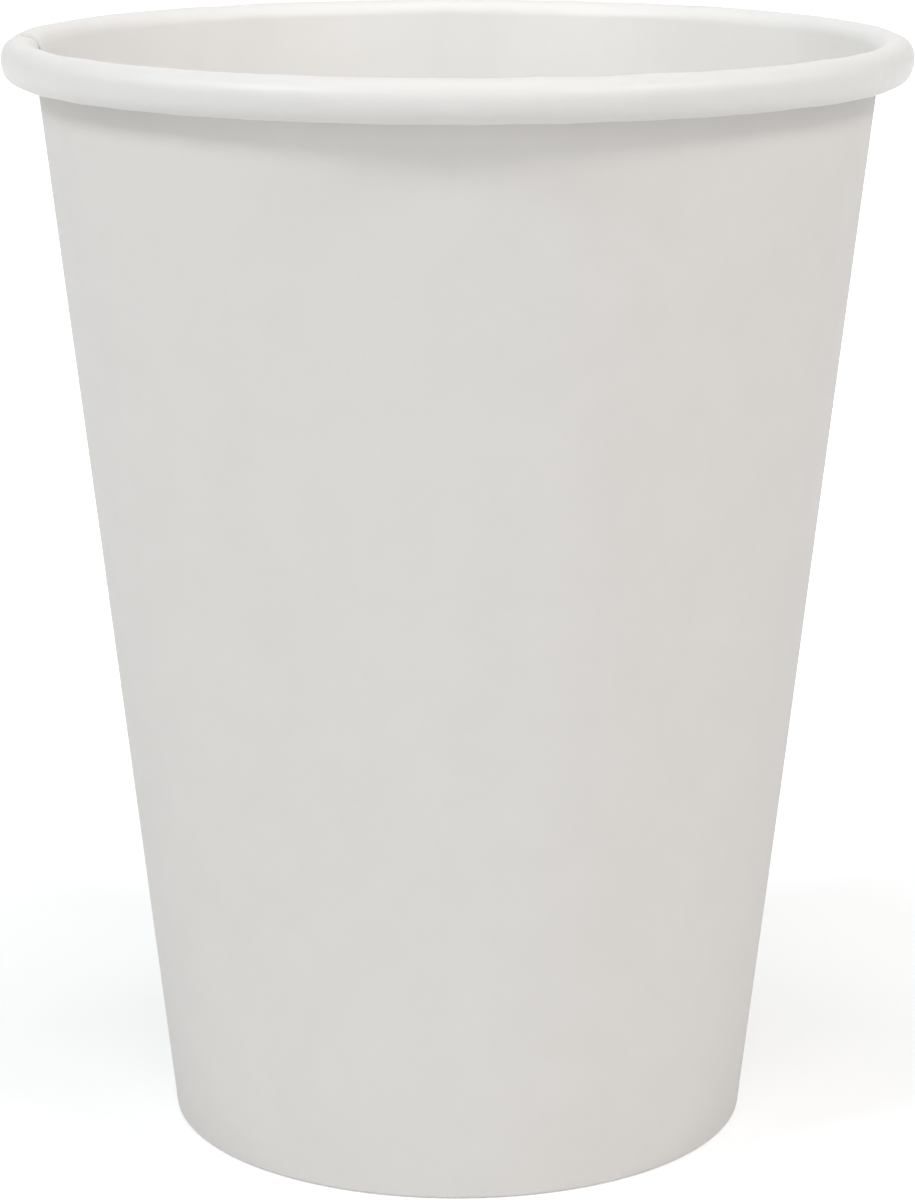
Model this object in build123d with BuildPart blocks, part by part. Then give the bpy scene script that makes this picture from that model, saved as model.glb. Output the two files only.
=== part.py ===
from build123d import *
import math
import os

# Single-wall paper cup for hot drinks, about 350 ml, in millimetres. The origin is the centre of
# the circle that the cup stands on, and +Z is its axis. The cup is two pieces of board coated
# with polyethylene, heat-sealed to each other:
#   sidewall  a fan-shaped blank wrapped into a cone. Its ends overlap in a lap seam, its top
#             edge is rolled outwards into the rim bead, and its bottom edge is turned in and
#             up to form the hem.
#   base      a round blank whose edge is turned down into a flange, which the hem grips.

# Overall sizes
height = 111.0
rim_radius = 45.0  # outermost point of the bead
base_radius = 29.5  # outer face of the wall, carried down to the table

# Board
wall_board = 0.38
base_board = 0.30
bond_gap = 0.02  # film of polyethylene on each side of the base's flange

# Rim bead, measured on its skin, which is the sheet's drink-side face
bead_radius = 1.8  # over the top, from the wall to the outermost point
bead_height = 4.05
bead_clearance = 0.08  # between the sheet's rolled-in end and the lapped wall
bead_tuck = 0.8  # straight end of the sheet, inside the bead

# Hem and base
hem_gap = 1.0  # under the base, down to the top of the hem
hem_bend = 0.05  # drink-side radius of the two bends under the flange
base_recess = 7.0  # underside of the base above the table
base_bend = 0.5  # radius under the base, where it turns down into the flange
flange_clearance = 0.14  # under the flange, down to the lapped hem

# Lap seam, in degrees about the axis, counter-clockwise seen from above
seam_angle = 176.5  # cut edge of the inner end of the sheet
lap_angle = 9.5  # overlap, clockwise from that edge
ramp_angle = 7.0  # where the sheet rises onto its inner end, counter-clockwise from that edge

# The wall leans so that it runs from the base circle into the bead without a kink
bead_center = Vector(rim_radius - bead_radius, height - bead_radius)
to_bead = bead_center - Vector(base_radius, 0)
lean = math.degrees(
    math.atan2(to_bead.X, to_bead.Y) - math.asin((bead_radius - wall_board) / to_bead.length)
)
up_wall = Vector(0, 1).rotate(Axis.Z, -lean)
out_of_wall = Vector(1, 0).rotate(Axis.Z, -lean)

# The bead is tighter underneath, so that the sheet's end clears two layers of wall
bead_under_radius = bead_radius - wall_board - bead_clearance / 2
bead_side = bead_height - bead_radius - bead_under_radius

two_layers = 2 * wall_board
pocket = base_board + 2 * bond_gap


def on_wall(depth, level):
    """The point at this level on the line that runs up the wall, this deep behind its
    drink-side face. The space in front of that face has negative depths."""
    start = Vector(base_radius, 0) + out_of_wall * (depth - wall_board)
    return start + up_wall * ((level - start.Y) / up_wall.Y)


def sheet_line(depth, layers):
    """One line of the sidewall's section, this deep behind the drink-side face, from the top
    of the hem, under the flange, up the wall and round the bead. The fold under the flange
    stands on the table with the outer face of its layers."""
    fold_level = hem_bend + layers
    hem_side = on_wall(hem_bend - pocket, fold_level)
    wall_side = on_wall(-hem_bend, fold_level)
    bend_radius = hem_bend + depth
    hem_end = hem_side - out_of_wall * bend_radius
    hem_length = (base_recess - hem_gap - fold_level) / up_wall.Y
    bead_start = bead_center - out_of_wall * (bead_radius - depth)
    with BuildLine() as section:
        hem = Line(hem_end + up_wall * hem_length, hem_end)
        turn_out = JernArc(hem @ 1, hem % 1, bend_radius, 90 + lean)
        foot = Line(turn_out @ 1, turn_out @ 1 + Vector(wall_side.X - hem_side.X, 0))
        turn_up = JernArc(foot @ 1, foot % 1, bend_radius, 90 - lean)
        wall = Line(turn_up @ 1, bead_start)
        over = JernArc(wall @ 1, wall % 1, bead_radius - depth, lean - 180)
        side = Line(over @ 1, over @ 1 - Vector(0, bead_side))
        under = JernArc(side @ 1, side % 1, bead_under_radius - depth, -180 - lean)
        Line(under @ 1, under @ 1 + up_wall * bead_tuck)
    return section.line


def sheet_section(angle, front, back):
    """The sidewall's section between two depths, on the half-plane at this angle."""
    front_line = sheet_line(front, back)
    back_line = sheet_line(back, back)
    half_plane = Plane((0, 0, 0), x_dir=(1, 0, 0), z_dir=(0, -1, 0)).rotated((0, 0, angle))
    with BuildSketch(half_plane) as section:
        with BuildLine():
            add(front_line)
            add(back_line)
            Line(front_line @ 0, back_line @ 0)
            Line(front_line @ 1, back_line @ 1)
        make_face()
    return section.sketch


def make_sidewall():
    """A single layer most of the way round, two layers along the lap, and between them the
    ramp, where the sheet moves out by its own thickness."""
    single = sheet_section(seam_angle + ramp_angle, 0, wall_board)
    lap = sheet_section(seam_angle - lap_angle, 0, two_layers)
    top_of_ramp = sheet_section(seam_angle, wall_board, two_layers)
    with BuildPart() as sidewall:
        revolve(single, Axis.Z, 360 - lap_angle - ramp_angle)
        revolve(lap, Axis.Z, lap_angle)
        loft([top_of_ramp.face(), single.face()], ruled=True)
    sidewall.part.label = "sidewall"
    return sidewall.part


def make_base():
    """A shallow tray, upside down, whose flange stands between the hem and the wall."""
    flange_level = hem_bend + two_layers + flange_clearance
    top_level = base_recess + base_board
    flange_back = -bond_gap
    flange_front = -bond_gap - base_board
    with BuildPart() as base:
        with BuildSketch(Plane.XZ):
            with BuildLine():
                Polyline(
                    (0, base_recess),
                    (0, top_level),
                    on_wall(flange_back, top_level),
                    on_wall(flange_back, flange_level),
                    on_wall(flange_front, flange_level),
                    on_wall(flange_front, base_recess),
                    close=True,
                )
            make_face()
        revolve(axis=Axis.Z)
        circles = base.edges().filter_by(GeomType.CIRCLE)
        fillet(circles.group_by(Axis.Z)[-1], base_bend + base_board)
        circles = base.edges().filter_by(GeomType.CIRCLE).sort_by(Axis.Z)
        fillet(circles.filter_by_position(Axis.Z, base_recess, base_recess), base_bend)
    base.part.label = "base"
    return base.part


os.makedirs("parts", exist_ok=True)
export_step(make_sidewall(), "parts/sidewall.step")
export_step(make_base(), "parts/base.step")
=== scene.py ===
import math

import bpy
import numpy as np
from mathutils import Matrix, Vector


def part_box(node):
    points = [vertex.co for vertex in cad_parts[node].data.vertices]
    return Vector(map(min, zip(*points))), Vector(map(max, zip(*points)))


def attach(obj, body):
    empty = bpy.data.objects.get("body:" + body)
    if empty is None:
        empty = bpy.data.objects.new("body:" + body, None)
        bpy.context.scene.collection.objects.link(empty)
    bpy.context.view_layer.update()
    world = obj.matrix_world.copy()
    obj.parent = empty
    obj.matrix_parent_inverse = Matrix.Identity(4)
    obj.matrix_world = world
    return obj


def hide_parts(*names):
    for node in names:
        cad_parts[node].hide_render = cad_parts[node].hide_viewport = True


# The looks of a plain white paper cup. Both pieces are board, so each is rebuilt here as the sheet
# that it is: a drink-side face, a back face one board's thickness behind it, and cut edges all
# round. Sections are drawn as complex numbers, radius + height * 1j, in metres.

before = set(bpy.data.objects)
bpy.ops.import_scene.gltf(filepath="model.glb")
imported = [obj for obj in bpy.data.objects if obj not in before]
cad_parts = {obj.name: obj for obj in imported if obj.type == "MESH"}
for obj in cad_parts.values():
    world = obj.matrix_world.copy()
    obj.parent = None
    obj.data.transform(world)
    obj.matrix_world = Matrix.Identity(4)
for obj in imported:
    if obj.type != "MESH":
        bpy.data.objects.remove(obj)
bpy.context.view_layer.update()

MM = 0.001
wall_low, wall_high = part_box("sidewall")
base_low, base_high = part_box("base")

# The sidewall, as in the CAD
HEIGHT = wall_high.z
RIM_RADIUS = wall_high.x
FOOT_RADIUS = 29.5 * MM
BOARD = 0.38 * MM
BEAD_RADIUS = 1.8 * MM
BEAD_UNDER_RADIUS = 1.38 * MM
BEAD_DROP = 0.87 * MM
BEAD_TUCK = 0.8 * MM
HEM_BEND = 0.05 * MM
HEM_TOP = 6.0 * MM
POCKET = 0.34 * MM
SEAM_ANGLE = math.radians(176.5)
LAP = math.radians(9.5)
RAMP = math.radians(7)

# The base, as in the CAD
BASE_BOARD = 0.30 * MM
BASE_TOP = base_high.z
BASE_BEND = 0.8 * MM
FLANGE_FOOT = base_low.z
BOND_GAP = 0.02 * MM

# The wall leans so that it runs from the foot into the bead without a kink
BEAD_CENTER = complex(RIM_RADIUS - BEAD_RADIUS, HEIGHT - BEAD_RADIUS)
TO_BEAD = BEAD_CENTER - FOOT_RADIUS
LEAN = math.atan2(TO_BEAD.real, TO_BEAD.imag) - math.asin((BEAD_RADIUS - BOARD) / abs(TO_BEAD))
UP = complex(math.sin(LEAN), math.cos(LEAN))
OUT = complex(math.cos(LEAN), -math.sin(LEAN))


# Sections

def on_wall(depth, level):
    """The point at this level on the line up the wall, this deep behind its drink-side face."""
    start = FOOT_RADIUS + OUT * (depth - BOARD)
    return start + UP * (level - start.imag) / UP.imag


def line(start, end, count):
    return start + (end - start) * np.linspace(0, 1, count + 1)[1:]


def arc(center, radius, start, sweep, count, tall=0):
    """An arc, or with tall the part of an ellipse that is so much higher than it is wide."""
    turn = start + sweep * np.linspace(0, 1, count + 1)[1:]
    return center + radius * np.exp(1j * turn) + tall * np.sin(turn) * 1j


# How many steps each stretch of the sidewall's section is drawn in
HEM_STEPS = 7
FOLD_STEPS = 5
WALL_STEPS = 9
OVER_STEPS = 16
SIDE_STEPS = 8
UNDER_STEPS = 6
FIRST_WALL_ROW = HEM_STEPS + FOLD_STEPS + 1 + FOLD_STEPS
FIRST_BEAD_ROW = FIRST_WALL_ROW + WALL_STEPS


def sidewall_section(depth, layers):
    """The sheet's line this deep behind the drink-side face, from the top of the hem, under the
    flange, up the wall and round the bead. depth and layers, which is how thick the board under
    the fold is, are columns of values, one for each section."""
    level = HEM_BEND + layers
    hem_side = on_wall(HEM_BEND - POCKET, level)
    wall_side = on_wall(-HEM_BEND, level)
    bend = HEM_BEND + depth
    hem_end = hem_side - OUT * bend
    hem_top = hem_end + UP * (HEM_TOP - level) / UP.imag
    bead_start = BEAD_CENTER - OUT * (BEAD_RADIUS - depth)
    under_radius = BEAD_UNDER_RADIUS - depth
    side_center = BEAD_CENTER + BEAD_RADIUS - BEAD_UNDER_RADIUS
    under_center = side_center - BEAD_DROP * 1j
    tuck = under_center - OUT * under_radius
    return np.hstack([
        hem_top,
        line(hem_top, hem_end, HEM_STEPS),
        arc(hem_side, bend, math.pi - LEAN, math.pi / 2 + LEAN, FOLD_STEPS),
        wall_side - bend * 1j,
        arc(wall_side, bend, -math.pi / 2, math.pi / 2 - LEAN, FOLD_STEPS),
        line(wall_side + OUT * bend, bead_start, WALL_STEPS),
        arc(BEAD_CENTER, BEAD_RADIUS - depth, math.pi - LEAN, LEAN - math.pi, OVER_STEPS),
        arc(side_center, under_radius, 0, -math.pi / 2, SIDE_STEPS, BEAD_DROP),
        arc(under_center, under_radius, -math.pi / 2, -math.pi / 2 - LEAN, UNDER_STEPS),
        line(tuck, tuck + UP * BEAD_TUCK, 2),
    ])


def base_section(depth):
    """The base's line this deep under its drink-side face, from near the axis to the flange's
    foot, as one row of points."""
    reach = -BOND_GAP - BASE_BEND
    center = on_wall(reach, BASE_TOP - BASE_BEND)
    foot = on_wall(-BOND_GAP - depth, FLANGE_FOOT)
    return np.hstack([
        line(complex(0, BASE_TOP - depth), center + (BASE_BEND - depth) * 1j, 26),
        arc(center, BASE_BEND - depth, math.pi / 2, -math.pi / 2 - LEAN, 8),
        line(center + OUT * (BASE_BEND - depth), foot, 5),
    ])


# Sheets

def waves(seed, angle, along, slowest, fastest, count=24):
    """A smooth random field of about unit size, with between slowest and fastest waves to the
    turn. It drifts as along, in radians, grows."""
    random = np.random.default_rng(seed)
    total = 0
    for _ in range(count):
        turns = random.integers(slowest, fastest + 1)
        total = total + np.cos(turns * angle + random.normal() * along + random.uniform(0, math.tau))
    return total * math.sqrt(2 / count)


def ease(value, start, end):
    """0 up to start and 1 from end, with a smooth step between."""
    t = np.clip((value - start) / (end - start), 0, 1)
    return t * t * (3 - 2 * t)


def points_at(section, angle):
    radius = section.real
    return np.stack([radius * np.cos(angle), radius * np.sin(angle), section.imag], axis=-1)


def grid_faces(grid):
    """The quads of a grid of vertex numbers."""
    corners = grid[:-1, :-1], grid[1:, :-1], grid[1:, 1:], grid[:-1, 1:]
    return np.stack([c.ravel() for c in corners], axis=-1)


def rounded(front, back, share):
    """The line between a sheet's faces along a cut edge, pulled in by this share at its ends."""
    return front + (back - front) * share, back + (front - back) * share


def mesh_object(name, vertices, groups):
    """A mesh whose faces come in groups, one for each material."""
    faces = [f for _, group in groups for f in group.tolist()]
    mesh = bpy.data.meshes.new(name)
    mesh.from_pydata(vertices.reshape(-1, 3).tolist(), [], faces)
    index = np.concatenate([np.full(len(group), i) for i, (_, group) in enumerate(groups)])
    for material, _ in groups:
        mesh.materials.append(material)
    mesh.polygons.foreach_set("material_index", index.astype(np.int32))
    mesh.polygons.foreach_set("use_smooth", np.ones(len(mesh.polygons), bool))
    mesh.set_sharp_from_angle(angle=math.radians(50))
    mesh.validate()
    mesh.update()
    piece = bpy.data.objects.new(name, mesh)
    bpy.context.scene.collection.objects.link(piece)
    return piece


def make_sidewall(coated, outside, cut):
    """The wall blank as one sheet that goes once round and laps its own inner end."""
    full = math.tau + LAP
    columns = 790
    edge = 0.0012
    turned = np.linspace(0, full, columns + 1)
    turned = np.sort(np.append(turned, [edge, full - edge]))[:, None]
    angle = SEAM_ANGLE - turned

    onto_lap = ease(turned, math.tau - RAMP, math.tau)
    off_lap = ease(turned, LAP, LAP + RAMP)
    depth = BOARD * onto_lap
    layers = BOARD * (1 + onto_lap + 1 - off_lap)
    front = sidewall_section(depth, layers)
    back = sidewall_section(depth + BOARD, layers)
    inward = (back - front) / BOARD

    rows = np.arange(front.shape[1])
    on_bead = ease(rows, FIRST_BEAD_ROW - 1, FIRST_BEAD_ROW + 5)
    round_bead = (rows - FIRST_BEAD_ROW) * 0.16
    off_foot = ease(rows, FIRST_WALL_ROW - 1, FIRST_WALL_ROW + 3)
    up_wall = (rows - FIRST_WALL_ROW) * 0.5
    bead_swell = waves(3, angle, round_bead, 12, 40) * 0.022 * MM
    bead_wrinkle = waves(4, angle, round_bead * 3, 60, 150) * 0.006 * MM
    wall_swell = waves(5, angle, up_wall, 3, 11) * 0.03 * MM
    shift = on_bead * (bead_swell + bead_wrinkle) + off_foot * (1 - on_bead) * wall_swell
    front = front + inward * shift
    back = back + inward * shift

    ribs = 116
    on_hem = ease(rows, 0, 1) * (1 - ease(rows, HEM_STEPS - 2, HEM_STEPS))
    rib = (0.5 + 0.5 * np.cos(ribs * angle)) ** 2
    back = back - inward * on_hem * rib * 0.09 * MM

    for end in (0, -1):
        front[end], back[end] = rounded(front[end], back[end], 0.12)
    for end in (0, -1):
        front[:, end], back[:, end] = rounded(front[:, end], back[:, end], 0.12)

    vertices = np.stack([points_at(front, angle), points_at(back, angle)])
    number = np.arange(vertices.size // 3).reshape(vertices.shape[:3])
    drink_side, back_side = number
    ends = [np.stack([drink_side[e], back_side[e]]) for e in (0, -1)]
    rims = [np.stack([drink_side[:, e], back_side[:, e]]) for e in (0, -1)]
    edges = [
        grid_faces(ends[0]),
        grid_faces(ends[1])[:, ::-1],
        grid_faces(rims[0])[:, ::-1],
        grid_faces(rims[1]),
    ]
    return mesh_object("sidewall_sheet", vertices, [
        (coated, grid_faces(drink_side)),
        (outside, grid_faces(back_side)[:, ::-1]),
        (cut, np.concatenate(edges)),
    ])


def make_base(coated, outside, cut):
    """The base blank: a nearly flat disc, puckered where its edge turns down into the flange."""
    columns = 540
    angle = np.linspace(0, math.tau, columns, endpoint=False)[:, None]
    front = np.repeat(base_section(0)[None, :], columns, axis=0)
    back = np.repeat(base_section(BASE_BOARD)[None, :], columns, axis=0)
    inward = (back - front) / BASE_BOARD

    rows = np.arange(front.shape[1])
    reach = front.real / front.real.max()
    flat = 1 - ease(rows, 24, 27)
    swell = waves(8, angle, reach * 2, 1, 4) * reach * 0.05 * MM
    dish = 0.25 * MM * (1 - reach ** 2)
    puckers = waves(9, angle, reach * 3, 40, 75) * 0.02 * MM * ease(rows, 18, 26)
    puckers = puckers * (1 - ease(rows, 27, 33))
    shift = flat * (dish + swell * ease(reach, 0, 0.5)) + puckers
    front = front + inward * shift
    back = back + inward * shift
    front[:, -1], back[:, -1] = rounded(front[:, -1], back[:, -1], 0.12)

    vertices = np.stack([points_at(front, angle), points_at(back, angle)])
    number = np.arange(vertices.size // 3).reshape(vertices.shape[:3])
    number = np.concatenate([number, number[:, :1]], axis=1)
    drink_side, back_side = number
    middles = np.array([[0, 0, front[:, 0].imag.mean()], [0, 0, back[:, 0].imag.mean()]])
    vertices = np.concatenate([vertices.reshape(-1, 3), middles])
    top, bottom = len(vertices) - 2, len(vertices) - 1
    around = drink_side[:, 0], back_side[:, 0]
    top_fan = np.stack([around[0][1:], around[0][:-1], np.full(columns, top)], axis=-1)
    bottom_fan = np.stack([around[1][:-1], around[1][1:], np.full(columns, bottom)], axis=-1)
    foot = np.stack([drink_side[:, -1], back_side[:, -1]])
    return mesh_object("base_sheet", vertices, [
        (coated, grid_faces(drink_side)[:, ::-1]),
        (coated, top_fan[:, ::-1]),
        (outside, grid_faces(back_side)),
        (outside, bottom_fan[:, ::-1]),
        (cut, grid_faces(foot)[:, ::-1]),
    ])


# Materials

def add(tree, kind, inputs=None, **settings):
    """A node with these settings. inputs gives each named input a value or a socket."""
    node = tree.nodes.new(kind)
    for name, value in settings.items():
        setattr(node, name, value)
    for name, value in (inputs or {}).items():
        if isinstance(value, bpy.types.NodeSocket):
            tree.links.new(value, node.inputs[name])
        else:
            node.inputs[name].default_value = value
    return node


def remapped(tree, value, low, high, start=0.3, end=0.7):
    """Value, of which start to end is most of the range, brought to low to high."""
    inputs = {"Value": value, "From Min": start, "From Max": end, "To Min": low, "To Max": high}
    return add(tree, "ShaderNodeMapRange", inputs).outputs["Result"]


def noise(tree, place, size, detail=2.0, distortion=0.0):
    """Noise whose features are about this many metres across."""
    inputs = {"Vector": place, "Scale": 1 / size, "Detail": detail, "Distortion": distortion}
    return add(tree, "ShaderNodeTexNoise", inputs).outputs["Fac"]


def board_material(name, pale, dark, rough, gloss, grain_height, cloud_size, painted_rim_shade=1):
    """White board: faint clouds in the stock, fibres that the light catches, and a roughness
    that varies a little with them. Towards the rim the colour is darkened to the last argument's
    share of itself. This is painted shade for the light that comes through the single board of the
    wall but not through the rolled rim."""
    material = bpy.data.materials.new(name)
    material.use_nodes = True
    tree = material.node_tree
    shader = tree.nodes["Principled BSDF"]
    place = add(tree, "ShaderNodeTexCoord").outputs["Object"]
    cloud = noise(tree, place, cloud_size, 3.0, 0.4)
    fibre = noise(tree, place, 0.45 * MM, 3.0, 1.2)
    mix = add(tree, "ShaderNodeMix", {"Factor": remapped(tree, cloud, 0, 1)}, data_type="RGBA")
    mix.inputs["A"].default_value = (*dark, 1)
    mix.inputs["B"].default_value = (*pale, 1)
    flat = add(tree, "ShaderNodeVectorMath", {0: place, 1: (1, 1, 0)}, operation="MULTIPLY")
    radius = add(tree, "ShaderNodeVectorMath", {0: flat.outputs[0]}, operation="LENGTH")
    # painted shade: the colour darkens over the last 3 mm towards the rim, where light no longer
    # comes through a single board
    inner = RIM_RADIUS - 3 * MM
    rim_shade = remapped(tree, radius.outputs["Value"], 1, painted_rim_shade, inner, RIM_RADIUS - 0.5 * MM)
    inputs = {0: mix.outputs["Result"], "Scale": rim_shade}
    color = add(tree, "ShaderNodeVectorMath", inputs, operation="SCALE")
    tree.links.new(color.outputs[0], shader.inputs["Base Color"])
    tree.links.new(remapped(tree, fibre, rough - 0.04, rough + 0.04), shader.inputs["Roughness"])
    shader.inputs["Specular IOR Level"].default_value = gloss
    grain = add(tree, "ShaderNodeMath", {0: fibre, 1: cloud}, operation="ADD").outputs["Value"]
    bump = add(tree, "ShaderNodeBump", {"Height": grain, "Strength": 1.0, "Distance": grain_height})
    tree.links.new(bump.outputs["Normal"], shader.inputs["Normal"])
    return material


# Stage

def seen_directly(tree):
    """1 where the camera looks at a thing, or sees it in a reflection or through glass."""
    path = add(tree, "ShaderNodeLightPath").outputs
    seen = add(tree, "ShaderNodeMath", {0: path["Is Camera Ray"], 1: path["Is Glossy Ray"]})
    seen = add(tree, "ShaderNodeMath", {0: seen.outputs[0], 1: path["Is Transmission Ray"]})
    return seen.outputs[0]


def make_floor():
    """A pale floor. To the eye it is white, all but the shadow at the cup's foot."""
    material = bpy.data.materials.new("floor")
    material.use_nodes = True
    tree = material.node_tree
    plain = tree.nodes["Principled BSDF"]
    plain.inputs["Base Color"].default_value = (0.8, 0.8, 0.8, 1)
    plain.inputs["Roughness"].default_value = 0.9
    place = add(tree, "ShaderNodeTexCoord").outputs["Object"]
    away = add(tree, "ShaderNodeVectorMath", {0: place}, operation="LENGTH").outputs["Value"]
    glow = remapped(tree, away, 0.4, 1.0, 0.08, 0.3)
    white = add(tree, "ShaderNodeEmission", {"Strength": glow})
    lit = add(tree, "ShaderNodeAddShader", {0: plain.outputs[0], 1: white.outputs[0]})
    inputs = {0: seen_directly(tree), 1: plain.outputs[0], 2: lit.outputs[0]}
    mix = add(tree, "ShaderNodeMixShader", inputs)
    tree.links.new(mix.outputs[0], tree.nodes["Material Output"].inputs["Surface"])
    mesh = bpy.data.meshes.new("floor")
    half = 4.0
    corners = [(-half, -half, 0), (half, -half, 0), (half, half, 0), (-half, half, 0)]
    mesh.from_pydata(corners, [], [(0, 1, 2, 3)])
    mesh.materials.append(material)
    floor = bpy.data.objects.new("floor", mesh)
    bpy.context.scene.collection.objects.link(floor)


def make_world():
    """A dim room that looks white to the eye."""
    world = bpy.data.worlds.new("studio")
    world.use_nodes = True
    tree = world.node_tree
    tree.nodes.clear()
    light = add(tree, "ShaderNodeBackground", {"Color": (1, 1, 1, 1), "Strength": 0.2})
    white = add(tree, "ShaderNodeBackground", {"Color": (1, 1, 1, 1), "Strength": 1.0})
    inputs = {0: seen_directly(tree), 1: light.outputs[0], 2: white.outputs[0]}
    mix = add(tree, "ShaderNodeMixShader", inputs)
    add(tree, "ShaderNodeOutputWorld", {"Surface": mix.outputs[0]})
    bpy.context.scene.world = world


def make_softbox(name, azimuth, elevation, distance, size, strength, color=(1, 1, 1)):
    """A square softbox that faces the cup's rim from this direction, which is in degrees.
    Azimuth 0 is in front."""
    lamp = bpy.data.lights.new(name, "AREA")
    lamp.size = size
    lamp.energy = strength
    lamp.color = color
    around, up = math.radians(azimuth), math.radians(elevation)
    flat = math.cos(up) * distance
    softbox = bpy.data.objects.new(name, lamp)
    softbox.location = (
        math.sin(around) * flat,
        -math.cos(around) * flat,
        HEIGHT + math.sin(up) * distance,
    )
    softbox.rotation_euler = (math.pi / 2 - up, 0, around)
    bpy.context.scene.collection.objects.link(softbox)


def make_camera():
    camera = bpy.data.objects.new("camera", bpy.data.cameras.new("camera"))
    camera.data.lens = 113.1
    camera.data.sensor_width = 36.0
    camera.location = (0, -0.3756, 0.1443)
    camera.rotation_euler = (math.radians(90 - 13.6), 0, 0)
    camera.data.clip_start = 0.01
    bpy.context.scene.collection.objects.link(camera)
    bpy.context.scene.camera = camera


make_camera()
make_world()
make_floor()
make_softbox("left_key", -54, 42, 1.2, 0.28, 4.75, (0.92, 0.97, 1.0))
make_softbox("right_key", 54, 42, 1.2, 0.28, 4.0, (1.0, 0.98, 0.96))
make_softbox("front_fill", 0, 20, 1.5, 1.5, 5.8)
make_softbox("left_fill", -90, 30, 1.5, 0.8, 2.6, (0.93, 0.98, 1.0))
make_softbox("right_fill", 90, 30, 1.5, 0.8, 2.8)
make_softbox("top_fill", 0, 85, 1.2, 0.6, 2.4)

# the coated board's last value, 0.88, darkens its colour towards the rim as painted shade
coated_board = board_material(
    "coated_board", (0.91, 0.89, 0.865), (0.895, 0.875, 0.85), 0.42, 0.45, 0.012 * MM, 5 * MM, 0.88
)
plain_board = board_material(
    "plain_board", (0.785, 0.76, 0.732), (0.77, 0.745, 0.717), 0.62, 0.3, 0.02 * MM, 6 * MM
)
cut_board = board_material(
    "cut_board", (0.90, 0.88, 0.85), (0.84, 0.82, 0.79), 0.85, 0.3, 0.04 * MM, 0.3 * MM
)

sidewall_sheet = make_sidewall(coated_board, plain_board, cut_board)
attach(sidewall_sheet, "root")
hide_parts("sidewall")

base_sheet = make_base(coated_board, plain_board, cut_board)
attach(base_sheet, "root")
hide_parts("base")

bpy.context.scene.view_settings.view_transform = "Standard"
